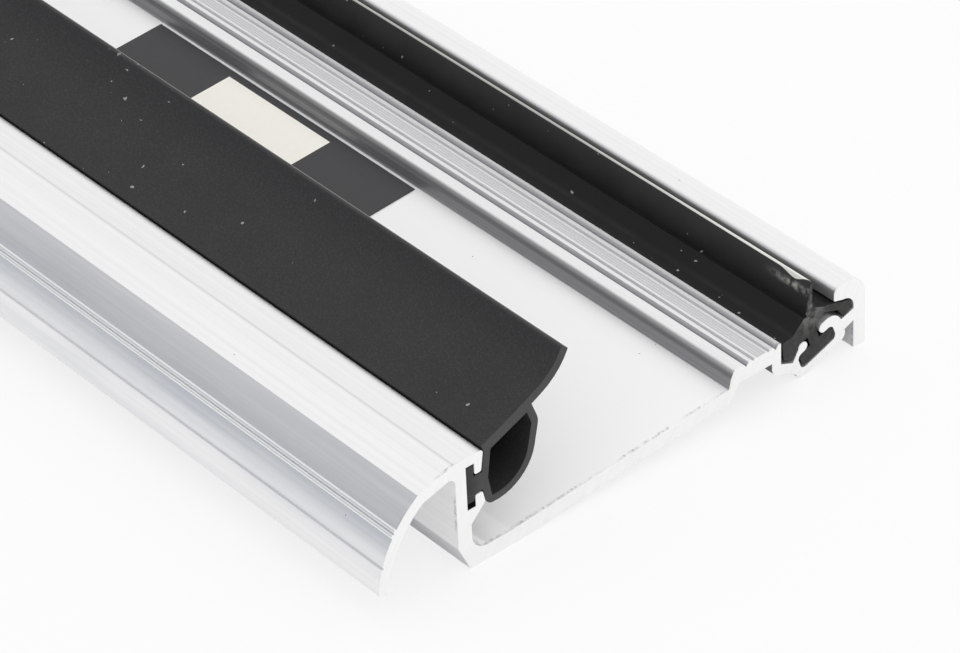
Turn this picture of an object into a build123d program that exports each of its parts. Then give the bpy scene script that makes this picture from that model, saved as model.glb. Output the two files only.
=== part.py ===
import os
from math import atan2, cos, radians, sin
from build123d import *

os.makedirs("parts", exist_ok=True)

# Section datum: y runs inwards from the wall's outer face, z runs up from the floor, all in mm
length = 914.0

# Outer nose: a sloping shoulder, then a curved skirt that stops short of the floor
nose_reach = 15.6
nose_lip_height = 4.2
nose_radius = 19.7
nose_wall = 2.0
nose_lip_round = 0.8
nose_inner_fillet = 1.2
shoulder_run = 7.1
shoulder_drop = 1.85

# Lines along the skirt, placed by their distance round its curve from the shoulder
bead_distance = 6.3
bead_spacing = 0.85
bead_radius = 0.36
scribe_distance = 12.5
scribe_radius = 0.25

# Upright wall with an undercut foot, standing on a flat pad
wall_top = 21.0
wall_thick = 2.7
undercut_height = 4.8
undercut_depth = 2.1
pad_width = 8.3
wall_fillet = 3.0

# T-slot of the bubble seal, in the flared head of the wall
head_cover = 1.65
head_round = 0.5
seal_slot_back = 2.1
seal_slot_depth = 1.65
seal_slot_height = 8.2
seal_mouth = 3.9
lip_tip_thick = 1.0
lip_root_thick = 1.85
lip_tip_round = 0.4

# Sloping web and the two-slope ramp up to the platform
door_bay = 52.6
web_thick = 2.8
web_rise = 2.8
ramp_lower_height = 1.8
ramp_lower_lean = 0.45
ramp_upper_lean = 0.75

# Ribbed platform, hollow underneath
platform_top = 8.9
platform_width = 9.9
platform_thick = 3.0
platform_round = 0.6
soffit_run = 1.2
wide_groove = 1.1
wide_groove_depth = 0.7
outer_groove_inset = 2.5
inner_groove_inset = 1.1
narrow_groove = 0.6
narrow_groove_depth = 0.37
narrow_groove_spread = 3.2
fine_groove = 0.42
fine_groove_depth = 0.18
fine_groove_pitch = 0.47
fine_groove_count = 4

# Trough for the gasket's leg
trough_wall = 1.9
trough_depth = 4.1
trough_width = 2.6
trough_fall = 1.1

# Tilted T-slot of the finned gasket, with round lips
gasket_slot_offset = 8.3
gasket_tilt = 19.0
gasket_slot_length = 8.0
gasket_slot_depth = 3.1
gasket_slot_round = 1.0
gasket_mouth = 2.9
gasket_lip_radius = 0.95
gasket_floor = 1.5
gasket_wall_out = 1.3
gasket_wall_in = 1.8
gasket_shoulder_round = 2.6

# Leg at the inner edge, hooked over the gasket's arm
leg_offset = 7.5
leg_thick = 2.5
hook_top = 13.5
hook_round = 3.5
hook_thick = 2.9
hook_reach = 4.3
hook_tip_thick = 2.3
hook_tip_round = 1.1
arm_slot_radius = 2.3
arm_slot_room = 0.6
heel_thick = 2.3

# Bubble seal
seal_gap = 0.25
seal_neck_gap = 0.3
seal_foot_room = 1.2
bubble_wall = 1.3
bubble_reach = 10.7
bubble_drop = 1.45
bubble_foot = 8.3
bubble_heel_rise = 0.6
bubble_back_round = 1.5
bubble_foot_round = 8.0
bubble_front_round = 3.0
flap_thick = 1.5
flap_root_drop = 0.7
flap_run = 11.65
flap_climb = 5.15
flap_radius = 116.0
flap_curl_run = 5.35
flap_curl_climb = 5.6
bubble_share = 0.79
flap_tip_round = 0.35

# Finned gasket
gasket_gap = 0.25
gasket_foot_gap = 0.4
gasket_neck_gap = 0.45
gasket_round = 0.3
saddle_height = 4.2
saddle_round = 2.0
saddle_leg_taper = 0.35
neck_rise = 1.2
fin_height = 6.1
fin_lean = 1.25
fin_bow = 0.1
fin_thick = 0.75
fin_tip_thick = 0.5
fin_tip_round = 0.2
fin_round = 8.0
crease_radius = 0.3
arm_thick = 1.1
arm_rise = 1.0
arm_crown = 1.2
arm_sweep = 2.4

# Label strip on the web, placed from the sawn end
label_length = 69.0
label_width = 20.0
label_thick = 0.2
label_inset = 0.65
label_from_end = 75.5

# Key places across the section
pad_end = undercut_depth + pad_width
ramp_y = wall_thick + door_bay
ramp_foot = web_rise + web_thick
ramp_break = (ramp_y + ramp_lower_lean, ramp_foot + ramp_lower_height)
platform_y = ramp_break[0] + ramp_upper_lean
edge_y = platform_y + platform_width
soffit_z = platform_top - platform_thick
slot_y = edge_y + gasket_slot_offset
leg_in = slot_y + leg_offset
leg_out = leg_in + leg_thick
overall_width = nose_reach + leg_out

# The seal slot and the flared lips in front of it
seal_lip_y = seal_slot_back + seal_slot_depth
head_y = seal_lip_y + lip_root_thick
mouth_y = seal_lip_y + lip_tip_thick
seal_slot_top = wall_top - head_cover
seal_slot_low = seal_slot_top - seal_slot_height
seal_slot_mid = seal_slot_top - seal_slot_height / 2
head_low = seal_slot_low - head_y + wall_thick
shoulder_slope = atan2(shoulder_drop, shoulder_run)

# The tilted slot's own axes: u along its floor, v out of its mouth; its outer corner meets the floor
tilt = radians(gasket_tilt)
slot_z = gasket_slot_length / 2 * sin(tilt) + gasket_floor * cos(tilt)
slot_u = gasket_slot_length / 2
lip_u = gasket_mouth / 2 + gasket_lip_radius
lip_v = gasket_slot_depth + gasket_lip_radius
lip_top_v = gasket_slot_depth + 2 * gasket_lip_radius


def in_slot(u, v):
    return (slot_y + u * cos(tilt) - v * sin(tilt), slot_z + u * sin(tilt) + v * cos(tilt))


outer_lip = in_slot(-lip_u, lip_v)
inner_lip = in_slot(lip_u, lip_v)
trough_low = platform_top - trough_depth
trough_end = (edge_y + trough_width, trough_low - trough_fall)
trough_slope = atan2(trough_fall, trough_width)
trough_under = (
    trough_end[0] - trough_wall * sin(trough_slope),
    trough_end[1] - trough_wall * cos(trough_slope),
)
hook_tip_y = leg_in - hook_reach
hook_tip_low = hook_top - hook_tip_thick
arm_slot_y = leg_in - arm_slot_radius
arm_slot_top = hook_top - hook_thick
arm_slot_z = arm_slot_top - arm_slot_radius
arm_slot_floor = arm_slot_z - arm_slot_room

section = Plane(origin=(-length / 2, nose_reach - overall_width / 2, 0), x_dir=(0, 1, 0), z_dir=(1, 0, 0))


def near(shapes, point):
    return shapes.sort_by_distance(Vector(*point))[0]


def rounded_outline(*corners):
    points = [point for point, radius in corners]
    FilletPolyline(*points, radius=[radius for point, radius in corners], close=True)


def cut_groove(width, depth):
    corners = [(-width / 2, depth), (-width / 2, 0), (0, -depth), (width / 2, 0), (width / 2, depth)]
    Polygon(*corners, align=None, mode=Mode.SUBTRACT)


# Aluminium bar, one extrusion
with BuildPart() as threshold_bar:
    with BuildSketch(section) as bar_section:
        # Nose: shoulder and skirt with a rounded lip
        with BuildLine():
            shoulder = Line((0, wall_top), (-shoulder_run, wall_top - shoulder_drop))
            skirt = RadiusArc(shoulder @ 1, (-nose_reach, nose_lip_height), -nose_radius)
            offset(amount=nose_wall, side=Side.LEFT)
        make_face()
        fillet(bar_section.vertices().sort_by(Axis.Y)[:2], nose_lip_round)
        # Twin beads and a scribed line along the skirt
        beads = [bead_distance, bead_distance + bead_spacing]
        with Locations(*[skirt.position_at(distance, PositionMode.LENGTH) for distance in beads]):
            Circle(bead_radius)
        with Locations(skirt.position_at(scribe_distance, PositionMode.LENGTH)):
            Circle(scribe_radius, mode=Mode.SUBTRACT)

        # Wall on its foot pad
        with BuildLine():
            rounded_outline(
                ((0, wall_top), 0),
                ((0, undercut_height), 0),
                ((undercut_depth, 0), 0),
                ((pad_end, 0), 0),
                ((pad_end, web_thick), 0),
                ((wall_thick, web_thick), wall_fillet),
                ((wall_thick, wall_top), 0),
            )
        make_face()
        # Head, flared at both lips
        with BuildLine():
            rounded_outline(
                ((0, wall_top), 0),
                ((head_y, wall_top), head_round),
                ((mouth_y, seal_slot_mid), 0),
                ((head_y, seal_slot_low), head_round),
                ((wall_thick, head_low), 0),
                ((0, head_low), 0),
            )
        make_face()
        under_shoulder = (0, wall_top - nose_wall / cos(shoulder_slope))
        fillet(near(bar_section.vertices(), under_shoulder), nose_inner_fillet)
        # Seal slot and its mouth, with the lips rounded
        with Locations((seal_slot_back, seal_slot_mid)):
            Rectangle(seal_slot_depth, seal_slot_height, align=(Align.MIN, Align.CENTER), mode=Mode.SUBTRACT)
            Rectangle(head_y, seal_mouth, align=(Align.MIN, Align.CENTER), mode=Mode.SUBTRACT)
        for side in (1, -1):
            lip_edge_z = seal_slot_mid + side * seal_mouth / 2
            fillet(near(bar_section.vertices(), (seal_lip_y, lip_edge_z)), lip_tip_round)
            fillet(near(bar_section.vertices(), (mouth_y, lip_edge_z)), lip_tip_round)

        # Web, ramp and platform, with the hollow under the platform
        Polygon(
            (pad_end, 0),
            (ramp_y, web_rise),
            (platform_y + soffit_run, soffit_z),
            (edge_y, soffit_z),
            (edge_y, platform_top),
            (platform_y, platform_top),
            ramp_break,
            (ramp_y, ramp_foot),
            (pad_end, web_thick),
            align=None,
        )
        fillet(near(bar_section.vertices(), (platform_y, platform_top)), platform_round)

        # Trough, its wall as thick as its floor, and the keel under it
        with BuildLine():
            Polyline((edge_y, platform_top), (edge_y, trough_low), trough_end)
            offset(amount=trough_wall, side=Side.RIGHT)
        make_face()
        Polygon(
            trough_end,
            trough_under,
            in_slot(-slot_u, -gasket_floor),
            in_slot(-slot_u, gasket_slot_depth / 2),
            align=None,
        )
        # Ribs: two wide grooves, and a finely ribbed band between two narrow ones
        outer_groove = platform_y + outer_groove_inset
        inner_groove = edge_y - inner_groove_inset
        with Locations((outer_groove, platform_top), (inner_groove, platform_top)):
            cut_groove(wide_groove, wide_groove_depth)
        with Locations(((outer_groove + inner_groove) / 2, platform_top)):
            with GridLocations(narrow_groove_spread, 0, 2, 1):
                cut_groove(narrow_groove, narrow_groove_depth)
            with GridLocations(fine_groove_pitch, 0, fine_groove_count, 1):
                cut_groove(fine_groove, fine_groove_depth)

        # Block round the tilted slot
        with BuildLine():
            rounded_outline(
                (in_slot(-slot_u - gasket_wall_out, -gasket_floor), gasket_wall_out),
                (in_slot(slot_u + gasket_wall_in, -gasket_floor), gasket_wall_out),
                (in_slot(slot_u + gasket_wall_in, lip_top_v), gasket_shoulder_round),
                (in_slot(-slot_u - gasket_wall_out, lip_top_v), 0),
            )
        make_face()
        # Leg with its hook
        with BuildLine():
            Polyline((leg_in, arm_slot_z), (leg_in, 0), (leg_out, 0), (leg_out, hook_top - hook_round))
            TangentArc((leg_out, hook_top - hook_round), (leg_out - hook_round, hook_top), tangent=(0, 1))
            Polyline(
                (leg_out - hook_round, hook_top),
                (hook_tip_y, hook_top),
                (hook_tip_y, hook_tip_low),
                (arm_slot_y, arm_slot_top),
            )
            TangentArc((arm_slot_y, arm_slot_top), (leg_in, arm_slot_z), tangent=(1, 0))
        make_face()
        fillet(near(bar_section.vertices(), (hook_tip_y, hook_top)), hook_tip_round)
        # Heel that ties the block to the leg under the arm's slot
        heel_u = slot_u + gasket_wall_in
        Polygon(
            in_slot(heel_u - gasket_wall_in / 2, gasket_slot_depth - gasket_lip_radius),
            in_slot(heel_u, lip_top_v - gasket_shoulder_round),
            (leg_in, arm_slot_floor),
            (leg_in + leg_thick / 2, arm_slot_floor),
            (leg_in + leg_thick / 2, arm_slot_floor - heel_thick),
            (leg_in, arm_slot_floor - heel_thick),
            in_slot(heel_u, 0),
            in_slot(heel_u - gasket_wall_in / 2, 0),
            align=None,
        )
        # Space over the trough, up to the outer lip
        Polygon(
            (edge_y, hook_top),
            (edge_y, trough_low),
            trough_end,
            (outer_lip[0] - gasket_lip_radius, outer_lip[1]),
            outer_lip,
            in_slot(-lip_u, hook_top),
            align=None,
            mode=Mode.SUBTRACT,
        )
        # Tilted slot, its mouth and the round lips
        with Locations(in_slot(0, gasket_slot_depth / 2)):
            RectangleRounded(
                gasket_slot_length,
                gasket_slot_depth,
                gasket_slot_round,
                rotation=gasket_tilt,
                mode=Mode.SUBTRACT,
            )
        with Locations(in_slot(0, lip_v)):
            Rectangle(2 * lip_u, 3 * gasket_lip_radius, rotation=gasket_tilt, mode=Mode.SUBTRACT)
        with Locations(outer_lip, inner_lip):
            Circle(gasket_lip_radius)

        # Lands on the floor
        with Locations((pad_end, 0)):
            Rectangle(2 * overall_width, gasket_floor, align=(Align.CENTER, Align.MAX), mode=Mode.SUBTRACT)
    extrude(amount=length)

# Bubble seal, pushed into the wall's slot
seal_y = head_y + seal_gap
bubble_low = seal_slot_low - bubble_drop
flap_root = (seal_y, wall_top - flap_root_drop)
flap_bend = (flap_root[0] + flap_run, flap_root[1] + flap_climb)
flap_tip = (flap_bend[0] + flap_curl_run, flap_bend[1] + flap_curl_climb)
flap_line = RadiusArc(flap_root, flap_bend, -flap_radius)
bubble_top = flap_line @ bubble_share + Vector(0, flap_thick / 2)
with BuildPart() as bubble_seal:
    with BuildSketch(section) as seal_section:
        # Hollow bubble
        with BuildLine():
            rounded_outline(
                ((seal_y, wall_top + seal_neck_gap), 0),
                ((mouth_y + seal_gap, seal_slot_mid), 0),
                ((seal_y, bubble_low + bubble_heel_rise), bubble_back_round),
                ((seal_y + bubble_foot, bubble_low), bubble_foot_round),
                ((seal_y + bubble_reach, wall_top), bubble_front_round),
                (bubble_top, 0),
            )
        make_face()
        offset(amount=-bubble_wall, mode=Mode.SUBTRACT)
        # Flap over the bubble, curling up towards its tip
        with BuildLine():
            flap = RadiusArc(flap_root, flap_bend, -flap_radius)
            TangentArc(flap_bend, flap_tip, tangent=flap % 1)
            offset(amount=flap_thick, side=Side.LEFT)
        make_face()
        fillet(seal_section.vertices().sort_by(Axis.X)[-2:], flap_tip_round)
        # T-foot, with room under it in the slot, and neck
        with Locations((seal_slot_back, seal_slot_top - seal_gap)):
            Rectangle(
                seal_slot_depth - seal_gap,
                seal_slot_height - seal_gap - seal_foot_room,
                align=(Align.MIN, Align.MAX),
            )
        with Locations((seal_slot_back, seal_slot_mid)):
            Rectangle(
                mouth_y + seal_gap + bubble_wall / 2 - seal_slot_back,
                seal_mouth - 2 * seal_neck_gap,
                align=(Align.MIN, Align.CENTER),
            )
    extrude(amount=length)

# Finned gasket, pushed into the tilted slot
neck_width = gasket_mouth - 2 * gasket_neck_gap
neck_top = in_slot(neck_width / 2, lip_top_v + neck_rise)
fin_root = in_slot(0, lip_top_v + saddle_height)
fin_mid = (fin_root[0] + fin_lean / 2, fin_root[1] + fin_height / 2)
fin_tip = (fin_root[0] + fin_lean, fin_root[1] + fin_height)
arm_top = arm_slot_top - gasket_foot_gap
arm_end = leg_in - gasket_foot_gap
arm_root = (fin_mid[0] + fin_thick, fin_root[1] + arm_rise)
arm_bend = (hook_tip_y - arm_sweep, arm_top + arm_crown)
arm_under = (arm_bend[0], arm_bend[1] - arm_thick)
arm_heel = (arm_slot_y - arm_thick, arm_top - arm_thick)
with BuildPart() as finned_gasket:
    with BuildSketch(section) as gasket_section:
        # Saddle over the lips, with the leg in the trough
        with BuildLine():
            rounded_outline(
                ((edge_y + gasket_gap, platform_top - gasket_gap), gasket_round),
                ((edge_y + trough_width, platform_top), saddle_round),
                (fin_root, 0),
                (neck_top, 0),
                (in_slot(neck_width / 2, lip_top_v), 0),
                (in_slot(-lip_u, lip_top_v), 0),
                ((outer_lip[0] - gasket_lip_radius - gasket_gap, outer_lip[1]), 0),
                ((trough_end[0] - gasket_gap, trough_end[1] + 2 * gasket_gap), gasket_round),
                ((edge_y + gasket_gap + saddle_leg_taper, trough_low + 2 * gasket_gap), gasket_round),
            )
        make_face()
        # Upright fin
        with BuildLine():
            rounded_outline(
                (fin_root, 0),
                ((fin_mid[0] - fin_bow, fin_mid[1]), fin_round),
                ((fin_tip[0] - fin_tip_thick / 2, fin_tip[1]), fin_tip_round),
                ((fin_tip[0] + fin_tip_thick / 2, fin_tip[1]), fin_tip_round),
                ((fin_mid[0] + fin_thick, fin_mid[1]), fin_round),
                (neck_top, 0),
            )
        make_face()
        # Arm that fills the slot under the hook
        with BuildLine():
            Polyline(
                (arm_slot_y, arm_top),
                (hook_tip_y, hook_tip_low - gasket_gap),
                arm_bend,
                arm_root,
                fin_root,
                neck_top,
                arm_under,
                arm_heel,
                (arm_slot_y, arm_slot_floor - arm_thick / 2),
                (arm_end, arm_slot_floor + gasket_foot_gap),
                (arm_end, arm_slot_z),
            )
            TangentArc((arm_end, arm_slot_z), (arm_slot_y, arm_top), tangent=(0, 1))
        make_face()
        for corner in (arm_bend, arm_under, arm_heel):
            fillet(near(gasket_section.vertices(), corner), arm_thick)
        # Crease at the fin's root and clearance round the lips
        with Locations(fin_root):
            Circle(crease_radius, mode=Mode.SUBTRACT)
        with Locations(outer_lip, inner_lip):
            Circle(gasket_lip_radius + gasket_gap, mode=Mode.SUBTRACT)
        # Neck, and the T-foot held up against the lips
        with Locations(in_slot(0, lip_v)):
            Rectangle(neck_width, 4 * gasket_lip_radius, rotation=gasket_tilt)
        with Locations(in_slot(0, (gasket_slot_depth + gasket_foot_gap) / 2)):
            RectangleRounded(
                gasket_slot_length - 2 * gasket_foot_gap,
                gasket_slot_depth - gasket_foot_gap,
                gasket_slot_round,
                rotation=gasket_tilt,
            )
    extrude(amount=length)

# Label strip on the web's upper face
web_slope = web_rise / (ramp_y - pad_end)
label_in = ramp_y - label_inset
label_out = label_in - label_width
label_in_z = web_thick + (label_in - pad_end) * web_slope
label_out_z = web_thick + (label_out - pad_end) * web_slope
with BuildPart() as label_strip:
    with BuildSketch(section.offset(length - label_from_end - label_length)):
        Polygon(
            (label_out, label_out_z),
            (label_in, label_in_z),
            (label_in, label_in_z + label_thick),
            (label_out, label_out_z + label_thick),
            align=None,
        )
    extrude(amount=label_length)

pieces = {
    "threshold_bar": threshold_bar,
    "bubble_seal": bubble_seal,
    "finned_gasket": finned_gasket,
    "label_strip": label_strip,
}
for name, piece in pieces.items():
    piece.part.label = name
    export_step(piece.part, f"parts/{name}.step")
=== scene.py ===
import bmesh
import bpy
from mathutils import Matrix, Vector

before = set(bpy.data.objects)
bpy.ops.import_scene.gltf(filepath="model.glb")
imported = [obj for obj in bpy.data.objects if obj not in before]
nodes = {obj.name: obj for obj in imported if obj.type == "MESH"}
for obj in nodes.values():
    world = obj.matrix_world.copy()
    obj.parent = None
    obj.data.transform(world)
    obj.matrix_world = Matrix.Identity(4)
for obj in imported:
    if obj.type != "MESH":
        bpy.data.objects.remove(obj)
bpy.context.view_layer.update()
mm = 0.001
cutAt = 456.9 * mm       # past this, at either end of the bar, a face is the saw cut
noiseSpan = (0.3, 0.7)   # most of a noise lies between these
rubberIor = 1.5
filmIor = 1.5
print("frame loaded:", ", ".join(sorted(nodes)))


def hexToLinear(code):
    parts = [int(code[i:i + 2], 16) / 255 for i in (1, 3, 5)]
    return [p / 12.92 if p <= 0.04045 else ((p + 0.055) / 1.055) ** 2.4 for p in parts] + [1.0]


# adds one node, sets its options and inputs, and links its inputs to other sockets
def addNode(tree, kind, settings={}, links={}):
    node = tree.nodes.new(kind)
    for name, value in settings.items():
        if isinstance(name, str) and hasattr(node, name):
            setattr(node, name, value)
        else:
            node.inputs[name].default_value = value
    for name, socket in links.items():
        tree.links.new(socket, node.inputs[name])
    return node


def newMaterial(name):
    material = bpy.data.materials.new(name)
    material.use_nodes = True
    tree = material.node_tree
    tree.nodes.clear()
    return material, tree


def dress(nodeName, material):
    slots = nodes[nodeName].data.materials
    slots.clear()
    slots.append(material)


# a piece's own coordinates, how far along from the bar's middle, and whether it is on a cut end
def readPlace(tree):
    spot = addNode(tree, "ShaderNodeTexCoord").outputs["Object"]
    xyz = addNode(tree, "ShaderNodeSeparateXYZ", links={0: spot})
    fromMiddle = addNode(tree, "ShaderNodeMath", {"operation": "ABSOLUTE"}, {0: xyz.outputs["X"]})
    atEnd = addNode(tree, "ShaderNodeMath", {"operation": "GREATER_THAN", 1: cutAt},
                    {0: fromMiddle.outputs[0]})
    return spot, xyz, fromMiddle, atEnd


# scattered cells with ragged outlines, each with a random number; ragged is the fineness and the reach
def scatter(tree, spot, spacing, ragged):
    wander = addNode(tree, "ShaderNodeTexNoise", {"Scale": ragged[0] / spacing, "Detail": 1.0},
                     {"Vector": spot})
    bent = addNode(tree, "ShaderNodeVectorMath",
                   {"operation": "MULTIPLY_ADD", 1: (spacing * ragged[1],) * 3},
                   {0: wander.outputs["Color"], 2: spot})
    cells = addNode(tree, "ShaderNodeTexVoronoi", {"Scale": 1 / spacing}, {"Vector": bent.outputs[0]})
    chosen = addNode(tree, "ShaderNodeSeparateColor", links={0: cells.outputs["Color"]})
    return cells, chosen, bent


# camera at the photo's viewing angle, a long lens
cameraSetup = {
    "place": (887.1 * mm, -374.9 * mm, 457.4 * mm),
    "right": (0.650, 0.759, -0.040),
    "up": (-0.435, 0.414, 0.799),
    "back": (0.623, -0.502, 0.600),
    "lens": 177.8,
    "sensor": 36.0,
}
cameraData = bpy.data.cameras.new("photoCamera")
cameraData.lens = cameraSetup["lens"]
cameraData.sensor_width = cameraSetup["sensor"]
camera = bpy.data.objects.new("photoCamera", cameraData)
turn = Matrix((cameraSetup["right"], cameraSetup["up"], cameraSetup["back"])).transposed()
camera.rotation_mode = "QUATERNION"
camera.rotation_quaternion = turn.to_quaternion()
camera.location = cameraSetup["place"]
bpy.context.scene.collection.objects.link(camera)
bpy.context.scene.camera = camera
bpy.context.scene.view_settings.view_transform = "Standard"
print("camera set")

# white board to stand on: mostly plain white to the eye and to the metal, with a soft shadow left in it
studio = {
    "floorSize": 12.0,
    "floorColour": "#F7F7F8",
    "floorSeen": 0.78,
    "floorMirrored": 0.82,
    # the board lies in shadow under the bar: half its length, and its outer and inner edge
    "underBar": (457 * mm, -36 * mm, 49 * mm),
    "underEdge": 2.5 * mm,
    "skyColour": "#FDFDFD",
    "skyLight": 0.86,
    # soft lamps over the inner side and off the sawn end: power, size, place and aim
    "lamps": {
        "softLamp": (3.8, 1.6, (0.45, 0.55, 1.2), (0.35, 0.0, 0.0)),
        "endLamp": (1.6, 1.0, (1.3, -0.05, 0.75), (0.42, 0.0, 0.0)),
    },
    # grey card low on the outer side, which only the metal mirrors: height in the sky and shade
    "card": [(0.0, "#9FA7B3"), (0.16, "#9CA4B1"), (0.26, "#B0B5BD"), (0.36, "#9FA0A4"),
             (0.48, "#B8B9BD"), (0.70, "#C8C9CB")],
    "cardEdge": (-0.36, -0.12),
}
floorMesh = bmesh.new()
bmesh.ops.create_grid(floorMesh, x_segments=1, y_segments=1, size=studio["floorSize"] / 2)
floorData = bpy.data.meshes.new("floor")
floorMesh.to_mesh(floorData)
floorMesh.free()
floor = bpy.data.objects.new("floor", floorData)
bpy.context.scene.collection.objects.link(floor)
floorMaterial, tree = newMaterial("matt white board")
rays = addNode(tree, "ShaderNodeLightPath")
seen = addNode(tree, "ShaderNodeMath", {"operation": "MULTIPLY", 1: studio["floorSeen"]},
               {0: rays.outputs["Is Camera Ray"]})
glint = addNode(tree, "ShaderNodeMath", {"operation": "MAXIMUM"},
                {0: rays.outputs["Is Glossy Ray"], 1: rays.outputs["Is Transmission Ray"]})
spot = addNode(tree, "ShaderNodeTexCoord").outputs["Object"]
half, outerEdge, innerEdge = studio["underBar"]
centred = addNode(tree, "ShaderNodeVectorMath",
                  {"operation": "SUBTRACT", 1: (0, (outerEdge + innerEdge) / 2, 0)}, {0: spot})
away = addNode(tree, "ShaderNodeVectorMath", {"operation": "ABSOLUTE"}, {0: centred.outputs[0]})
past = addNode(tree, "ShaderNodeVectorMath",
               {"operation": "SUBTRACT", 1: (half, (innerEdge - outerEdge) / 2, 0)}, {0: away.outputs[0]})
sides = addNode(tree, "ShaderNodeSeparateXYZ", links={0: past.outputs[0]})
furthest = addNode(tree, "ShaderNodeMath", {"operation": "MAXIMUM"},
                   {0: sides.outputs["X"], 1: sides.outputs["Y"]})
openBoard = addNode(tree, "ShaderNodeMapRange",
                    {"interpolation_type": "SMOOTHSTEP", 1: -studio["underEdge"], 2: studio["underEdge"],
                     3: 0.0, 4: studio["floorMirrored"]}, {0: furthest.outputs[0]})
share = addNode(tree, "ShaderNodeMath", {"operation": "MULTIPLY_ADD"},
                {0: glint.outputs[0], 1: openBoard.outputs[0], 2: seen.outputs[0]})
board = addNode(tree, "ShaderNodeBsdfDiffuse", {"Color": hexToLinear(studio["floorColour"])})
white = addNode(tree, "ShaderNodeEmission", {"Color": hexToLinear(studio["skyColour"]), "Strength": 1.0})
both = addNode(tree, "ShaderNodeMixShader", {},
               {0: share.outputs[0], 1: board.outputs[0], 2: white.outputs[0]})
addNode(tree, "ShaderNodeOutputMaterial", links={"Surface": both.outputs[0]})
floorData.materials.append(floorMaterial)

world = bpy.data.worlds.new("softStudio")
bpy.context.scene.world = world
world.use_nodes = True
tree = world.node_tree
tree.nodes.clear()
direction = addNode(tree, "ShaderNodeTexCoord")
split = addNode(tree, "ShaderNodeSeparateXYZ", links={0: direction.outputs["Generated"]})
card = addNode(tree, "ShaderNodeValToRGB", links={0: split.outputs["Z"]})
stops = card.color_ramp.elements
stops[0].position, stops[1].position = studio["card"][0][0], studio["card"][-1][0]
for height, shade in studio["card"][1:-1]:
    stops.new(height)
for stop, (height, shade) in zip(stops, studio["card"]):
    stop.color = hexToLinear(shade)
inner = addNode(tree, "ShaderNodeMapRange",
                {"interpolation_type": "SMOOTHSTEP", 1: studio["cardEdge"][0], 2: studio["cardEdge"][1]},
                {0: split.outputs["Y"]})
rays = addNode(tree, "ShaderNodeLightPath")
clear = addNode(tree, "ShaderNodeMath", {"operation": "MAXIMUM"},
                {0: rays.outputs["Is Camera Ray"], 1: inner.outputs[0]})
shown = addNode(tree, "ShaderNodeMix", {"data_type": "RGBA", 7: hexToLinear(studio["skyColour"])},
                {0: clear.outputs[0], 6: card.outputs[0]})
mirrored = addNode(tree, "ShaderNodeMath", {"operation": "MAXIMUM"},
                   {0: rays.outputs["Is Camera Ray"], 1: rays.outputs["Is Glossy Ray"]})
seen = addNode(tree, "ShaderNodeMath", {"operation": "MAXIMUM"},
               {0: mirrored.outputs[0], 1: rays.outputs["Is Transmission Ray"]})
sky = addNode(tree, "ShaderNodeBackground",
              {"Color": hexToLinear(studio["skyColour"]), "Strength": studio["skyLight"]})
backdrop = addNode(tree, "ShaderNodeBackground", {"Strength": 1.0}, {"Color": shown.outputs[2]})
both = addNode(tree, "ShaderNodeMixShader", {},
               {0: seen.outputs[0], 1: sky.outputs[0], 2: backdrop.outputs[0]})
addNode(tree, "ShaderNodeOutputWorld", links={"Surface": both.outputs[0]})

for lampName, (power, size, lampPlace, aim) in studio["lamps"].items():
    lampData = bpy.data.lights.new(lampName, "AREA")
    lampData.energy = power
    lampData.size = size
    lamp = bpy.data.objects.new(lampName, lampData)
    lamp.location = lampPlace
    lamp.rotation_mode = "QUATERNION"
    lamp.rotation_quaternion = (Vector(aim) - lamp.location).to_track_quat("-Z", "Y")
    lamp.visible_glossy = False
    bpy.context.scene.collection.objects.link(lamp)
print("studio lit")

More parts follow.
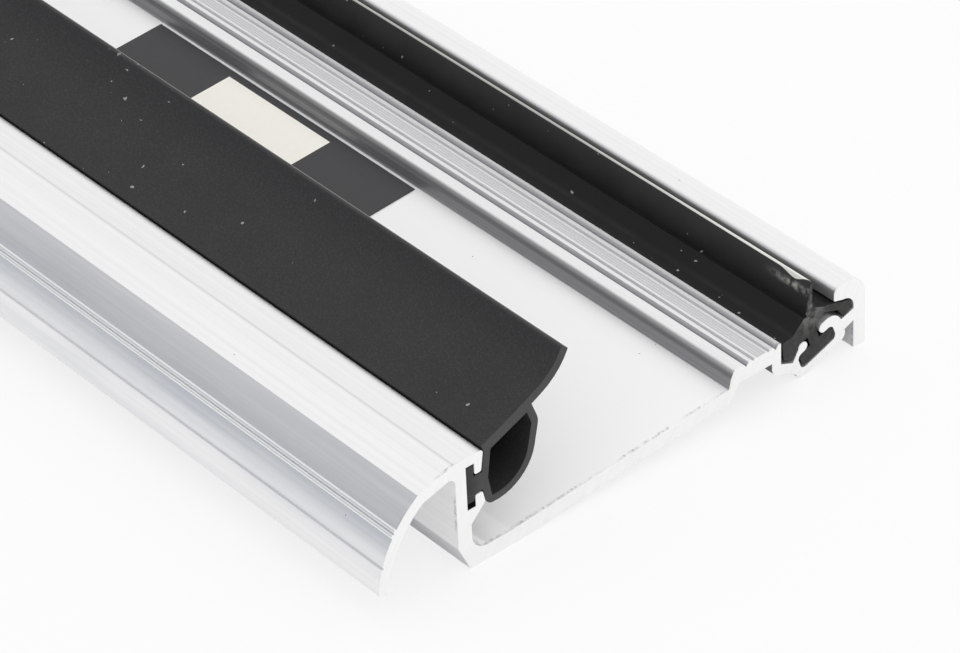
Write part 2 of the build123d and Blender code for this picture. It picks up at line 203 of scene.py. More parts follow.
# mill-finish aluminium, extruded: a pale satin metal that mirrors along its curves, with faint die
# lines, grey smears on the nose and handling specks; the sawn ends are dull, near white and saw-marked
bar = {
    "extruded": "#F3F3F3",
    "dieShade": "#EBEBEC",
    "webPaintedLight": "#F7F7F7",
    "speckShade": "#A0A0A2",
    "rampPaintedShade": "#AAAAAD",
    "rampPaintedShadeStreak": "#8A8A8E",
    "groovePaintedShade": "#96969B",
    "creasePaintedShade": "#D8D8D9",
    "smearShade": "#E4E5E7",
    "sawn": "#FBFBFA",
    "sawShade": "#EFEFEE",
    "metallic": (0.50, 0.80),
    "webMetallic": 0.25,
    "rampMetallic": 0.55,
    "roughness": (0.29, 0.37),
    "sawnRoughness": 0.55,
    "sawnMetallic": 0.1,
    "dieLine": 0.6 * mm,
    "dieRun": 300 * mm,
    "dieShare": (0.35, 0.75),
    "smear": 22 * mm,
    "smearRun": 60 * mm,
    "smearWide": 2.2 * mm,
    "smearShare": (0.42, 0.70),
    "speckSpacing": 3.2 * mm,
    "speckSize": 0.05,      # of their spacing
    "speckFrom": 0.72,      # the rest of the cells stay clean
    "ragged": (1.0, 0.7),
    "sawPitch": 0.5 * mm,
    "sawRun": 9 * mm,
    "sawLean": 0.5,
    "relief": (0.012, 0.02 * mm),
    "burrShade": "#A8A8AA",
    "burrFrom": 456.4 * mm,
    "burrGrain": 0.6 * mm,
    "burrShare": (0.38, 0.78),
    # burrs come in patches along the cut: their size, and the noise that bares and fills them
    "burrPatch": 7 * mm,
    "burrPatchShare": (0.47, 0.60),
    # across the bar: the nose, the crease at the shoulder, the web, the ramp, the hook's tip, the grooves
    "noseFrom": -41.6 * mm,
    "crease": -34.6 * mm,
    "creaseWidth": 0.35 * mm,
    "creaseAbove": 20.5 * mm,
    "web": (-30.0 * mm, 20.7 * mm),
    "webTop": 6.0 * mm,
    "ramp": (20.7 * mm, 20.8 * mm, 21.5 * mm, 21.9 * mm),
    "hookTip": (43.0 * mm, 44.4 * mm),
    "grooves": (22.3 * mm, 31.7 * mm),
    "grooveTop": 8.86 * mm,
    "grooveLow": 8.35 * mm,
    # the seal slot is painted dark as shadow below the seal's foot: shade, middle and half size across
    # and up
    "slotPaintedShadow": "#38383A",
    "slotMiddle": (-31.62 * mm, 11.80 * mm),
    "slotHalf": (0.86 * mm, 0.72 * mm),
}
aluminium, tree = newMaterial("mill finish aluminium")
spot, xyz, fromMiddle, atEnd = readPlace(tree)
along = addNode(tree, "ShaderNodeMapping",
                {"Scale": (1 / bar["dieRun"], 1 / bar["dieLine"], 1 / bar["dieLine"])}, {"Vector": spot})
dieLines = addNode(tree, "ShaderNodeTexNoise", {"Scale": 1.0, "Detail": 3.0, "Roughness": 0.6},
                   {"Vector": along.outputs[0]})
smears = addNode(tree, "ShaderNodeTexNoise",
                 {"Scale": 1 / bar["smear"], "Detail": 4.0, "Roughness": 0.65}, {"Vector": spot})
specks, chosen, _ = scatter(tree, spot, bar["speckSpacing"], bar["ragged"])
reach = addNode(tree, "ShaderNodeMapRange", {1: bar["speckFrom"], 2: 1.0, 3: 0.0, 4: bar["speckSize"]},
                {0: chosen.outputs[0]})
speck = addNode(tree, "ShaderNodeMath", {"operation": "LESS_THAN"},
                {0: specks.outputs["Distance"], 1: reach.outputs[0]})
lineShade = addNode(tree, "ShaderNodeMapRange", {1: bar["dieShare"][0], 2: bar["dieShare"][1]},
                    {0: dieLines.outputs["Fac"]})
drawn = addNode(tree, "ShaderNodeMix",
                {"data_type": "RGBA", 6: hexToLinear(bar["extruded"]), 7: hexToLinear(bar["dieShade"])},
                {0: lineShade.outputs[0]})
# painted light: the web is painted the whitest of the flats
webFrom, webTo = bar["web"]
acrossWeb = addNode(tree, "ShaderNodeMath",
                    {"operation": "COMPARE", 1: (webFrom + webTo) / 2, 2: (webTo - webFrom) / 2},
                    {0: xyz.outputs["Y"]})
low = addNode(tree, "ShaderNodeMath", {"operation": "LESS_THAN", 1: bar["webTop"]}, {0: xyz.outputs["Z"]})
onWeb = addNode(tree, "ShaderNodeMath", {"operation": "MULTIPLY"},
                {0: acrossWeb.outputs[0], 1: low.outputs[0]})
webLightened = addNode(tree, "ShaderNodeMix", {"data_type": "RGBA", 7: hexToLinear(bar["webPaintedLight"])},
                   {0: onWeb.outputs[0], 6: drawn.outputs[2]})
# long grey smears on the nose
onNose = addNode(tree, "ShaderNodeMath", {"operation": "LESS_THAN", 1: bar["noseFrom"]},
                 {0: xyz.outputs["Y"]})
wiped = addNode(tree, "ShaderNodeMapping",
                {"Scale": (1 / bar["smearRun"], 1 / bar["smearWide"], 1 / bar["smearWide"])},
                {"Vector": spot})
longSmears = addNode(tree, "ShaderNodeTexNoise", {"Scale": 1.0, "Detail": 4.0, "Roughness": 0.6},
                     {"Vector": wiped.outputs[0]})
smearShare = addNode(tree, "ShaderNodeMapRange", {1: bar["smearShare"][0], 2: bar["smearShare"][1]},
                     {0: longSmears.outputs["Fac"]})
onSmear = addNode(tree, "ShaderNodeMath", {"operation": "MULTIPLY"},
                  {0: smearShare.outputs[0], 1: onNose.outputs[0]})
smeared = addNode(tree, "ShaderNodeMix", {"data_type": "RGBA", 7: hexToLinear(bar["smearShade"])},
                  {0: onSmear.outputs[0], 6: webLightened.outputs[2]})
# the steep ramp is painted dark as painted shade, streaked with the die lines
streaks = addNode(tree, "ShaderNodeMix",
                  {"data_type": "RGBA",
                   6: hexToLinear(bar["rampPaintedShade"]), 7: hexToLinear(bar["rampPaintedShadeStreak"])},
                  {0: lineShade.outputs[0]})
rampFoot = addNode(tree, "ShaderNodeMapRange", {1: bar["ramp"][0], 2: bar["ramp"][1]},
                   {0: xyz.outputs["Y"]})
rampHead = addNode(tree, "ShaderNodeMapRange", {1: bar["ramp"][3], 2: bar["ramp"][2]},
                   {0: xyz.outputs["Y"]})
onRamp = addNode(tree, "ShaderNodeMath", {"operation": "MULTIPLY"},
                 {0: rampFoot.outputs[0], 1: rampHead.outputs[0]})
rampShaded = addNode(tree, "ShaderNodeMix", {"data_type": "RGBA"},
                 {0: onRamp.outputs[0], 6: smeared.outputs[2], 7: streaks.outputs[2]})
# painted shade down in the platform's grooves
deep = addNode(tree, "ShaderNodeMapRange", {1: bar["grooveTop"], 2: bar["grooveLow"]},
               {0: xyz.outputs["Z"]})
ribsFrom, ribsTo = bar["grooves"]
onRibs = addNode(tree, "ShaderNodeMath",
                 {"operation": "COMPARE", 1: (ribsFrom + ribsTo) / 2, 2: (ribsTo - ribsFrom) / 2},
                 {0: xyz.outputs["Y"]})
inGroove = addNode(tree, "ShaderNodeMath", {"operation": "MULTIPLY"},
                   {0: deep.outputs[0], 1: onRibs.outputs[0]})
grooveShaded = addNode(tree, "ShaderNodeMix", {"data_type": "RGBA", 7: hexToLinear(bar["groovePaintedShade"])},
                  {0: inGroove.outputs[0], 6: rampShaded.outputs[2]})
# painted shade: a faint grey line where the shoulder bends down from the top
fromCrease = addNode(tree, "ShaderNodeMath", {"operation": "SUBTRACT", 1: bar["crease"]},
                     {0: xyz.outputs["Y"]})
creaseFar = addNode(tree, "ShaderNodeMath", {"operation": "ABSOLUTE"}, {0: fromCrease.outputs[0]})
creaseNear = addNode(tree, "ShaderNodeMapRange", {1: bar["creaseWidth"], 2: 0.0},
                     {0: creaseFar.outputs[0]})
onTop = addNode(tree, "ShaderNodeMath", {"operation": "GREATER_THAN", 1: bar["creaseAbove"]},
                {0: xyz.outputs["Z"]})
inCrease = addNode(tree, "ShaderNodeMath", {"operation": "MULTIPLY"},
                   {0: creaseNear.outputs[0], 1: onTop.outputs[0]})
creaseShaded = addNode(tree, "ShaderNodeMix", {"data_type": "RGBA", 7: hexToLinear(bar["creasePaintedShade"])},
                  {0: inCrease.outputs[0], 6: grooveShaded.outputs[2]})
speckled = addNode(tree, "ShaderNodeMix", {"data_type": "RGBA", 7: hexToLinear(bar["speckShade"])},
                   {0: speck.outputs[0], 6: creaseShaded.outputs[2]})
# burrs and grey dirt in the last half millimetre before the saw cut
burrZone = addNode(tree, "ShaderNodeMath", {"operation": "GREATER_THAN", 1: bar["burrFrom"]},
                   {0: fromMiddle.outputs[0]})
burrGrain = addNode(tree, "ShaderNodeTexNoise", {"Scale": 1 / bar["burrGrain"], "Detail": 2.0},
                    {"Vector": spot})
burrSpot = addNode(tree, "ShaderNodeMapRange", {1: bar["burrShare"][0], 2: bar["burrShare"][1]},
                   {0: burrGrain.outputs["Fac"]})
burrPatches = addNode(tree, "ShaderNodeTexNoise", {"Scale": 1 / bar["burrPatch"], "Detail": 1.0},
                      {"Vector": spot})
burrHere = addNode(tree, "ShaderNodeMapRange", {1: bar["burrPatchShare"][0], 2: bar["burrPatchShare"][1]},
                   {0: burrPatches.outputs["Fac"]})
burrPlace = addNode(tree, "ShaderNodeMath", {"operation": "MULTIPLY"},
                    {0: burrZone.outputs[0], 1: burrHere.outputs[0]})
burr = addNode(tree, "ShaderNodeMath", {"operation": "MULTIPLY"},
               {0: burrPlace.outputs[0], 1: burrSpot.outputs[0]})
burred = addNode(tree, "ShaderNodeMix", {"data_type": "RGBA", 7: hexToLinear(bar["burrShade"])},
                 {0: burr.outputs[0], 6: speckled.outputs[2]})
# painted shadow in the slot under the seal's foot
acrossSlot = addNode(tree, "ShaderNodeMath",
                     {"operation": "COMPARE", 1: bar["slotMiddle"][0], 2: bar["slotHalf"][0]},
                     {0: xyz.outputs["Y"]})
lowInSlot = addNode(tree, "ShaderNodeMath",
                    {"operation": "COMPARE", 1: bar["slotMiddle"][1], 2: bar["slotHalf"][1]},
                    {0: xyz.outputs["Z"]})
inSlot = addNode(tree, "ShaderNodeMath", {"operation": "MULTIPLY"},
                 {0: acrossSlot.outputs[0], 1: lowInSlot.outputs[0]})
slotShadowed = addNode(tree, "ShaderNodeMix", {"data_type": "RGBA", 7: hexToLinear(bar["slotPaintedShadow"])},
                   {0: inSlot.outputs[0], 6: burred.outputs[2]})
# saw marks, uneven streaks leaning across the cut
lean = addNode(tree, "ShaderNodeMapping", {"Rotation": (bar["sawLean"], 0, 0)}, {"Vector": spot})
drag = addNode(tree, "ShaderNodeMapping",
               {"Scale": (1.0, 1 / bar["sawPitch"], 1 / bar["sawRun"])}, {"Vector": lean.outputs[0]})
sawMarks = addNode(tree, "ShaderNodeTexNoise", {"Scale": 1.0, "Detail": 3.0, "Roughness": 0.6},
                   {"Vector": drag.outputs[0]})
sawn = addNode(tree, "ShaderNodeMix",
               {"data_type": "RGBA", 6: hexToLinear(bar["sawn"]), 7: hexToLinear(bar["sawShade"])},
               {0: sawMarks.outputs["Fac"]})
colour = addNode(tree, "ShaderNodeMix", {"data_type": "RGBA"},
                 {0: atEnd.outputs[0], 6: slotShadowed.outputs[2], 7: sawn.outputs[2]})
dull = addNode(tree, "ShaderNodeMapRange",
               {1: noiseSpan[0], 2: noiseSpan[1], 3: bar["roughness"][0], 4: bar["roughness"][1]},
               {0: smears.outputs["Fac"]})
rough = addNode(tree, "ShaderNodeMix", {"data_type": "FLOAT", 3: bar["sawnRoughness"]},
                {0: atEnd.outputs[0], 2: dull.outputs[0]})
# the flats are rubbed matt, the web most; the nose, the ramp and the hook's tip still mirror
tipFrom, tipTo = bar["hookTip"]
onTip = addNode(tree, "ShaderNodeMath",
                {"operation": "COMPARE", 1: (tipFrom + tipTo) / 2, 2: (tipTo - tipFrom) / 2},
                {0: xyz.outputs["Y"]})
bright = addNode(tree, "ShaderNodeMath", {"operation": "MAXIMUM"},
                 {0: onNose.outputs[0], 1: onTip.outputs[0]})
skinMetal = addNode(tree, "ShaderNodeMapRange", {3: bar["metallic"][0], 4: bar["metallic"][1]},
                    {0: bright.outputs[0]})
rampMetal = addNode(tree, "ShaderNodeMix", {"data_type": "FLOAT", 3: bar["rampMetallic"]},
                    {0: onRamp.outputs[0], 2: skinMetal.outputs[0]})
flatMetal = addNode(tree, "ShaderNodeMix", {"data_type": "FLOAT", 3: bar["webMetallic"]},
                    {0: onWeb.outputs[0], 2: rampMetal.outputs[0]})
metallic = addNode(tree, "ShaderNodeMix", {"data_type": "FLOAT", 3: bar["sawnMetallic"]},
                   {0: atEnd.outputs[0], 2: flatMetal.outputs[0]})
height = addNode(tree, "ShaderNodeMix", {"data_type": "FLOAT"},
                 {0: atEnd.outputs[0], 2: dieLines.outputs["Fac"], 3: sawMarks.outputs["Fac"]})
relief = addNode(tree, "ShaderNodeBump", {"Strength": bar["relief"][0], "Distance": bar["relief"][1]},
                 {"Height": height.outputs[0]})
metal = addNode(tree, "ShaderNodeBsdfPrincipled", {},
                {"Base Color": colour.outputs[2], "Metallic": metallic.outputs[0],
                 "Roughness": rough.outputs[0], "Normal": relief.outputs[0]})
addNode(tree, "ShaderNodeOutputMaterial", links={"Surface": metal.outputs[0]})
dress("threshold_bar", aluminium)
print("bar finished")

# extruded EPDM rubber of the bubble seal: matt charcoal with a faint mottle, white dust flecks
# caught on its flap, and a lighter face where it was cut
seal = {
    "skin": "#262627",
    "mottle": "#303031",
    "grit": "#363637",
    "cut": "#484849",
    "cutMottle": "#3A3A3B",
    # the cut is painted darker down in the slot, as painted shade: its shade, and where it starts across
    # the bar
    "cutPaintedSlotShade": "#2A2A2B",
    "footRun": (-32.2 * mm, -29.6 * mm),
    "dust": "#929290",
    "dustAbove": 20.6 * mm,
    "rimHighlight": "#7A7A78",
    "rimFrom": -12.2 * mm,
    "roughness": (0.62, 0.8),
    "mottleSize": 9 * mm,
    "grain": 0.35 * mm,
    "dustSpacing": 1.5 * mm,
    "dustSize": 0.26,       # of its spacing
    "dustPatch": 30 * mm,
    # how likely dust is in a bare and in a dusty patch, and from where a fleck or a hair shows
    "crowd": (0.44, 0.56),
    "dustShare": (0.435, 0.53),
    "hairShare": (0.44, 0.53),
    "ragged": (2.2, 0.55),
    "hairLong": 5 * mm,
    "hairSpacing": 1.3 * mm,
    "hairSize": 0.11,
    "hairSlant": 0.5,
    "gritShare": (0.45, 0.75),
    "gloss": 0.4,
    "relief": (0.15, 0.03 * mm),
}
sealRubber, tree = newMaterial("matt EPDM rubber")
spot, xyz, fromMiddle, atEnd = readPlace(tree)
cloud = addNode(tree, "ShaderNodeTexNoise",
                {"Scale": 1 / seal["mottleSize"], "Detail": 6.0, "Roughness": 0.6}, {"Vector": spot})
grain = addNode(tree, "ShaderNodeTexNoise", {"Scale": 1 / seal["grain"], "Detail": 2.0}, {"Vector": spot})
skin = addNode(tree, "ShaderNodeMix",
               {"data_type": "RGBA", 6: hexToLinear(seal["skin"]), 7: hexToLinear(seal["mottle"])},
               {0: cloud.outputs["Fac"]})
gritShare = addNode(tree, "ShaderNodeMapRange", {1: seal["gritShare"][0], 2: seal["gritShare"][1]},
                    {0: grain.outputs["Fac"]})
gritty = addNode(tree, "ShaderNodeMix", {"data_type": "RGBA", 7: hexToLinear(seal["grit"])},
                 {0: gritShare.outputs[0], 6: skin.outputs[2]})
flecks, chosen, bent = scatter(tree, spot, seal["dustSpacing"], seal["ragged"])
patches = addNode(tree, "ShaderNodeTexNoise", {"Scale": 1 / seal["dustPatch"], "Detail": 2.0},
                  {"Vector": spot})
crowd = addNode(tree, "ShaderNodeMapRange",
                {1: noiseSpan[0], 2: noiseSpan[1], 3: seal["crowd"][0], 4: seal["crowd"][1]},
                {0: patches.outputs["Fac"]})
likely = addNode(tree, "ShaderNodeMath", {"operation": "MULTIPLY"},
                 {0: chosen.outputs[0], 1: crowd.outputs[0]})
reach = addNode(tree, "ShaderNodeMapRange",
                {1: seal["dustShare"][0], 2: seal["dustShare"][1], 3: 0.0, 4: seal["dustSize"]},
                {0: likely.outputs[0]})
fleck = addNode(tree, "ShaderNodeMath", {"operation": "LESS_THAN"},
                {0: flecks.outputs["Distance"], 1: reach.outputs[0]})
# fine hairs of lint, longer than they are wide
slant = addNode(tree, "ShaderNodeMapping", {"Rotation": (0, 0, seal["hairSlant"])},
                {"Vector": bent.outputs[0]})
drag = addNode(tree, "ShaderNodeMapping",
               {"Scale": (1 / seal["hairLong"], 1 / seal["hairSpacing"], 1 / seal["hairSpacing"])},
               {"Vector": slant.outputs[0]})
hairs = addNode(tree, "ShaderNodeTexVoronoi", {"Scale": 1.0}, {"Vector": drag.outputs[0]})
picked = addNode(tree, "ShaderNodeSeparateColor", links={0: hairs.outputs["Color"]})
hairLikely = addNode(tree, "ShaderNodeMath", {"operation": "MULTIPLY"},
                     {0: picked.outputs[0], 1: crowd.outputs[0]})
width = addNode(tree, "ShaderNodeMapRange",
                {1: seal["hairShare"][0], 2: seal["hairShare"][1], 3: 0.0, 4: seal["hairSize"]},
                {0: hairLikely.outputs[0]})
hair = addNode(tree, "ShaderNodeMath", {"operation": "LESS_THAN"},
               {0: hairs.outputs["Distance"], 1: width.outputs[0]})
lint = addNode(tree, "ShaderNodeMath", {"operation": "MAXIMUM"},
               {0: fleck.outputs[0], 1: hair.outputs[0]})
# dust lies on the flap, not down inside the bubble
onFlap = addNode(tree, "ShaderNodeMath", {"operation": "GREATER_THAN", 1: seal["dustAbove"]},
                 {0: xyz.outputs["Z"]})
settled = addNode(tree, "ShaderNodeMath", {"operation": "MULTIPLY"},
                  {0: lint.outputs[0], 1: onFlap.outputs[0]})
dusty = addNode(tree, "ShaderNodeMix", {"data_type": "RGBA", 7: hexToLinear(seal["dust"])},
                {0: settled.outputs[0], 6: gritty.outputs[2]})
# painted highlight: a thin light line along the flap's far edge
onRim = addNode(tree, "ShaderNodeMath", {"operation": "GREATER_THAN", 1: seal["rimFrom"]},
                {0: xyz.outputs["Y"]})
rimHighlighted = addNode(tree, "ShaderNodeMix", {"data_type": "RGBA", 7: hexToLinear(seal["rimHighlight"])},
                 {0: onRim.outputs[0], 6: dusty.outputs[2]})
cutFace = addNode(tree, "ShaderNodeMix",
                  {"data_type": "RGBA", 6: hexToLinear(seal["cut"]), 7: hexToLinear(seal["cutMottle"])},
                  {0: grain.outputs["Fac"]})
# painted shade: the cut goes darker down in the slot
outOfSlot = addNode(tree, "ShaderNodeMapRange", {1: seal["footRun"][0], 2: seal["footRun"][1]},
                    {0: xyz.outputs["Y"]})
cutShaded = addNode(tree, "ShaderNodeMix", {"data_type": "RGBA", 6: hexToLinear(seal["cutPaintedSlotShade"])},
                    {0: outOfSlot.outputs[0], 7: cutFace.outputs[2]})
colour = addNode(tree, "ShaderNodeMix", {"data_type": "RGBA"},
                 {0: atEnd.outputs[0], 6: rimHighlighted.outputs[2], 7: cutShaded.outputs[2]})
rough = addNode(tree, "ShaderNodeMapRange",
                {1: noiseSpan[0], 2: noiseSpan[1], 3: seal["roughness"][0], 4: seal["roughness"][1]},
                {0: cloud.outputs["Fac"]})
relief = addNode(tree, "ShaderNodeBump", {"Strength": seal["relief"][0], "Distance": seal["relief"][1]},
                 {"Height": grain.outputs["Fac"]})
rubber = addNode(tree, "ShaderNodeBsdfPrincipled",
                 {"IOR": rubberIor, "Specular IOR Level": seal["gloss"]},
                 {"Base Color": colour.outputs[2], "Roughness": rough.outputs[0],
                  "Normal": relief.outputs[0]})
addNode(tree, "ShaderNodeOutputMaterial", links={"Surface": rubber.outputs[0]})
dress("bubble_seal", sealRubber)
print("seal finished")

# extruded EPDM rubber of the finned gasket: satin black, with grey lint, a grey cut face with painted
# light and shade, and a fin painted lighter towards its tip, with a painted highlight along its inner top
# edge and scuffs at its ends
gasket = {
    "skin": "#131314",
    "mottle": "#1A1A1B",
    # the cut face is painted lightest at its middle and darker to its edges, as painted light and shade
    "cut": "#72726F",
    "cutPaintedEdgeShade": "#2E2E2C",
    "cutMottle": "#1E1E1C",
    "cutPaintedLightMiddle": (cutAt, 38.4 * mm, 12.2 * mm),
    "cutPaintedLightReach": 5.0 * mm,
    "finPaintedLight": "#353536",
    "finRise": (12.2 * mm, 17.2 * mm),
    "lint": "#9A9A97",
    "scuff": "#A2A29E",
    "paintedHighlight": "#E6E6E2",
    "paintedHighlightFar": "#B4B4B1",
    "paintedHighlightRun": (400 * mm, 445 * mm),
    "roughness": (0.42, 0.6),
    "mottleSize": 6 * mm,
    "cutGrain": 1.1 * mm,
    "lintSpacing": 1.7 * mm,
    "lintSize": 0.16,       # of its spacing
    "lintFrom": 0.7,        # the rest of the cells stay clean
    "ragged": (2.2, 0.55),
    "patchShare": (0.38, 0.62),
    "gloss": 0.3,
    "relief": (0.1, 0.03 * mm),
    # the fin's inner top edge: which way it faces, how far out it lies, and its painted highlight band
    # and crescent
    "tipSide": (0, 0.766, 0.643),
    "tipReach": 40.79 * mm,
    "highlightWidth": 0.42 * mm,
    "highlightFrom": 15.5 * mm,
    "crescentDepth": 0.50 * mm,
    "crescentFrom": 450.0 * mm,
    "crescentDeepest": 453.5 * mm,
    "scuffFrom": 446.5 * mm,
    "scuffHeight": 15.6 * mm,
    "scuffReach": 1.1 * mm,
}
gasketRubber, tree = newMaterial("satin EPDM rubber")
spot, xyz, fromMiddle, atEnd = readPlace(tree)
cloud = addNode(tree, "ShaderNodeTexNoise", {"Scale": 1 / gasket["mottleSize"], "Detail": 5.0},
                {"Vector": spot})
skin = addNode(tree, "ShaderNodeMix",
               {"data_type": "RGBA", 6: hexToLinear(gasket["skin"]), 7: hexToLinear(gasket["mottle"])},
               {0: cloud.outputs["Fac"]})
flecks, chosen, _ = scatter(tree, spot, gasket["lintSpacing"], gasket["ragged"])
reach = addNode(tree, "ShaderNodeMapRange",
                {1: gasket["lintFrom"], 2: 1.0, 3: 0.0, 4: gasket["lintSize"]}, {0: chosen.outputs[0]})
fleck = addNode(tree, "ShaderNodeMath", {"operation": "LESS_THAN"},
                {0: flecks.outputs["Distance"], 1: reach.outputs[0]})
# painted light: the fin goes grey towards its tip
up = addNode(tree, "ShaderNodeMapRange", {1: gasket["finRise"][0], 2: gasket["finRise"][1]},
             {0: xyz.outputs["Z"]})
finLit = addNode(tree, "ShaderNodeMix", {"data_type": "RGBA", 7: hexToLinear(gasket["finPaintedLight"])},
                {0: up.outputs[0], 6: skin.outputs[2]})
linted = addNode(tree, "ShaderNodeMix", {"data_type": "RGBA", 7: hexToLinear(gasket["lint"])},
                 {0: fleck.outputs[0], 6: finLit.outputs[2]})
# grey scuff on the fin's last millimetres
scuffRun = addNode(tree, "ShaderNodeMapRange",
                   {"interpolation_type": "SMOOTHSTEP",
                    1: gasket["scuffFrom"], 2: gasket["crescentDeepest"]}, {0: fromMiddle.outputs[0]})
scuffOff = addNode(tree, "ShaderNodeMath", {"operation": "SUBTRACT", 1: gasket["scuffHeight"]},
                   {0: xyz.outputs["Z"]})
scuffFar = addNode(tree, "ShaderNodeMath", {"operation": "ABSOLUTE"}, {0: scuffOff.outputs[0]})
scuffBand = addNode(tree, "ShaderNodeMapRange",
                    {"interpolation_type": "SMOOTHSTEP", 1: gasket["scuffReach"], 2: 0.0},
                    {0: scuffFar.outputs[0]})
scuffPatch = addNode(tree, "ShaderNodeMath", {"operation": "MULTIPLY"},
                     {0: scuffRun.outputs[0], 1: scuffBand.outputs[0]})
cutGrain = addNode(tree, "ShaderNodeTexNoise", {"Scale": 1 / gasket["cutGrain"], "Detail": 3.0},
                   {"Vector": spot})
patchy = addNode(tree, "ShaderNodeMapRange", {1: gasket["patchShare"][0], 2: gasket["patchShare"][1]},
                 {0: cutGrain.outputs["Fac"]})
scuffed = addNode(tree, "ShaderNodeMath", {"operation": "MULTIPLY"},
                  {0: scuffPatch.outputs[0], 1: patchy.outputs[0]})
scuffs = addNode(tree, "ShaderNodeMix", {"data_type": "RGBA", 7: hexToLinear(gasket["scuff"])},
                 {0: scuffed.outputs[0], 6: linted.outputs[2]})
# painted highlight along the tip, which dips to a crescent near the ends
toTip = addNode(tree, "ShaderNodeVectorMath", {"operation": "DOT_PRODUCT", 1: gasket["tipSide"]},
                {0: spot})
dip = addNode(tree, "ShaderNodeMapRange",
              {"interpolation_type": "SMOOTHSTEP",
               1: gasket["crescentFrom"], 2: gasket["crescentDeepest"],
               3: gasket["tipReach"] - gasket["highlightWidth"],
               4: gasket["tipReach"] - gasket["highlightWidth"] - gasket["crescentDepth"]},
              {0: fromMiddle.outputs[0]})
rise = addNode(tree, "ShaderNodeMapRange",
               {"interpolation_type": "SMOOTHSTEP", 1: gasket["crescentDeepest"], 2: cutAt,
                3: 0.0, 4: gasket["crescentDepth"] + gasket["highlightWidth"]},
               {0: fromMiddle.outputs[0]})
limit = addNode(tree, "ShaderNodeMath", {"operation": "ADD"}, {0: dip.outputs[0], 1: rise.outputs[0]})
beyond = addNode(tree, "ShaderNodeMath", {"operation": "GREATER_THAN"},
                 {0: toTip.outputs["Value"], 1: limit.outputs[0]})
onFin = addNode(tree, "ShaderNodeMath", {"operation": "GREATER_THAN", 1: gasket["highlightFrom"]},
                {0: xyz.outputs["Z"]})
onHighlight = addNode(tree, "ShaderNodeMath", {"operation": "MULTIPLY"},
                 {0: beyond.outputs[0], 1: onFin.outputs[0]})
nearEnd = addNode(tree, "ShaderNodeMapRange", {1: gasket["paintedHighlightRun"][0], 2: gasket["paintedHighlightRun"][1]},
                  {0: fromMiddle.outputs[0]})
paintedHighlight = addNode(tree, "ShaderNodeMix",
               {"data_type": "RGBA", 6: hexToLinear(gasket["paintedHighlightFar"]), 7: hexToLinear(gasket["paintedHighlight"])},
               {0: nearEnd.outputs[0]})
edged = addNode(tree, "ShaderNodeMix", {"data_type": "RGBA"},
                {0: onHighlight.outputs[0], 6: scuffs.outputs[2], 7: paintedHighlight.outputs[2]})
# painted light and shade on the cut: lightest where the fin, the arm and the foot meet, darker to its
# edges
folded = addNode(tree, "ShaderNodeCombineXYZ", {},
                 {0: fromMiddle.outputs[0], 1: xyz.outputs["Y"], 2: xyz.outputs["Z"]})
fromLitMiddle = addNode(tree, "ShaderNodeVectorMath", {"operation": "DISTANCE", 1: gasket["cutPaintedLightMiddle"]},
                   {0: folded.outputs[0]})
paintedCutLight = addNode(tree, "ShaderNodeMapRange", {1: gasket["cutPaintedLightReach"], 2: 0.0},
               {0: fromLitMiddle.outputs["Value"]})
cutLightAndShade = addNode(tree, "ShaderNodeMix",
                   {"data_type": "RGBA",
                    6: hexToLinear(gasket["cutPaintedEdgeShade"]), 7: hexToLinear(gasket["cut"])},
                   {0: paintedCutLight.outputs[0]})
cutFace = addNode(tree, "ShaderNodeMix", {"data_type": "RGBA", 6: hexToLinear(gasket["cutMottle"])},
                  {0: patchy.outputs[0], 7: cutLightAndShade.outputs[2]})
colour = addNode(tree, "ShaderNodeMix", {"data_type": "RGBA"},
                 {0: atEnd.outputs[0], 6: edged.outputs[2], 7: cutFace.outputs[2]})
rough = addNode(tree, "ShaderNodeMapRange",
                {1: noiseSpan[0], 2: noiseSpan[1], 3: gasket["roughness"][0], 4: gasket["roughness"][1]},
                {0: cloud.outputs["Fac"]})
relief = addNode(tree, "ShaderNodeBump",
                 {"Strength": gasket["relief"][0], "Distance": gasket["relief"][1]},
                 {"Height": cloud.outputs["Fac"]})
rubber = addNode(tree, "ShaderNodeBsdfPrincipled",
                 {"IOR": rubberIor, "Specular IOR Level": gasket["gloss"]},
                 {"Base Color": colour.outputs[2], "Roughness": rough.outputs[0],
                  "Normal": relief.outputs[0]})
addNode(tree, "ShaderNodeOutputMaterial", links={"Surface": rubber.outputs[0]})
dress("finned_gasket", gasketRubber)
print("gasket finished")

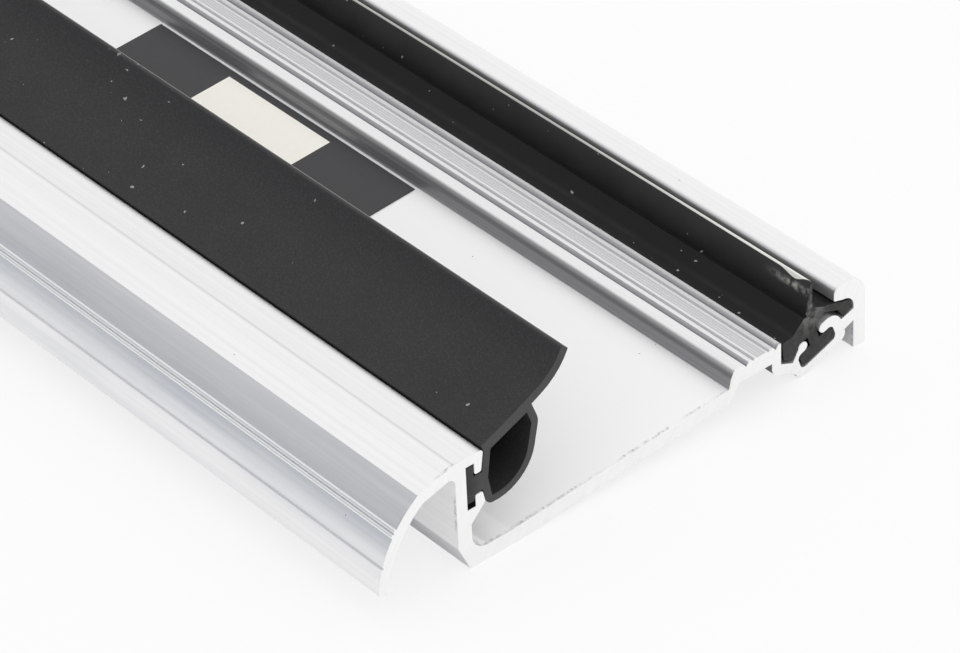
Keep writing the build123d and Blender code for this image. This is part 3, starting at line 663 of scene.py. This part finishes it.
# self-adhesive polyester film, dark grey with a bare cream field: smooth, with a faint grain
label = {
    "film": "#39393B",
    "filmGrain": "#3F3F41",
    "field": "#FCFAF2",
    "fieldGrain": "#F6F3E9",
    "roughness": 0.5,
    "grain": 0.5 * mm,
    "gloss": 0.35,
    "relief": (0.05, 0.02 * mm),
    "fieldMiddle": (347.4 * mm, 10.1 * mm),
    "fieldHalf": (13.7 * mm, 8.5 * mm),
}
labelFilm, tree = newMaterial("printed polyester film")
spot = addNode(tree, "ShaderNodeTexCoord").outputs["Object"]
grain = addNode(tree, "ShaderNodeTexNoise", {"Scale": 1 / label["grain"], "Detail": 3.0},
                {"Vector": spot})
film = addNode(tree, "ShaderNodeMix",
               {"data_type": "RGBA", 6: hexToLinear(label["film"]), 7: hexToLinear(label["filmGrain"])},
               {0: grain.outputs["Fac"]})
field = addNode(tree, "ShaderNodeMix",
                {"data_type": "RGBA",
                 6: hexToLinear(label["field"]), 7: hexToLinear(label["fieldGrain"])},
                {0: grain.outputs["Fac"]})
centred = addNode(tree, "ShaderNodeMapping",
                  {"vector_type": "TEXTURE", "Location": (*label["fieldMiddle"], 0),
                   "Scale": (*label["fieldHalf"], 1)}, {"Vector": spot})
away = addNode(tree, "ShaderNodeVectorMath", {"operation": "ABSOLUTE"}, {0: centred.outputs[0]})
sides = addNode(tree, "ShaderNodeSeparateXYZ", links={0: away.outputs[0]})
furthest = addNode(tree, "ShaderNodeMath", {"operation": "MAXIMUM"},
                   {0: sides.outputs["X"], 1: sides.outputs["Y"]})
inField = addNode(tree, "ShaderNodeMath", {"operation": "LESS_THAN", 1: 1.0}, {0: furthest.outputs[0]})
colour = addNode(tree, "ShaderNodeMix", {"data_type": "RGBA"},
                 {0: inField.outputs[0], 6: film.outputs[2], 7: field.outputs[2]})
relief = addNode(tree, "ShaderNodeBump", {"Strength": label["relief"][0], "Distance": label["relief"][1]},
                 {"Height": grain.outputs["Fac"]})
sheet = addNode(tree, "ShaderNodeBsdfPrincipled",
                {"Roughness": label["roughness"], "IOR": filmIor, "Specular IOR Level": label["gloss"]},
                {"Base Color": colour.outputs[2], "Normal": relief.outputs[0]})
addNode(tree, "ShaderNodeOutputMaterial", links={"Surface": sheet.outputs[0]})
dress("label_strip", labelFilm)
print("label finished")
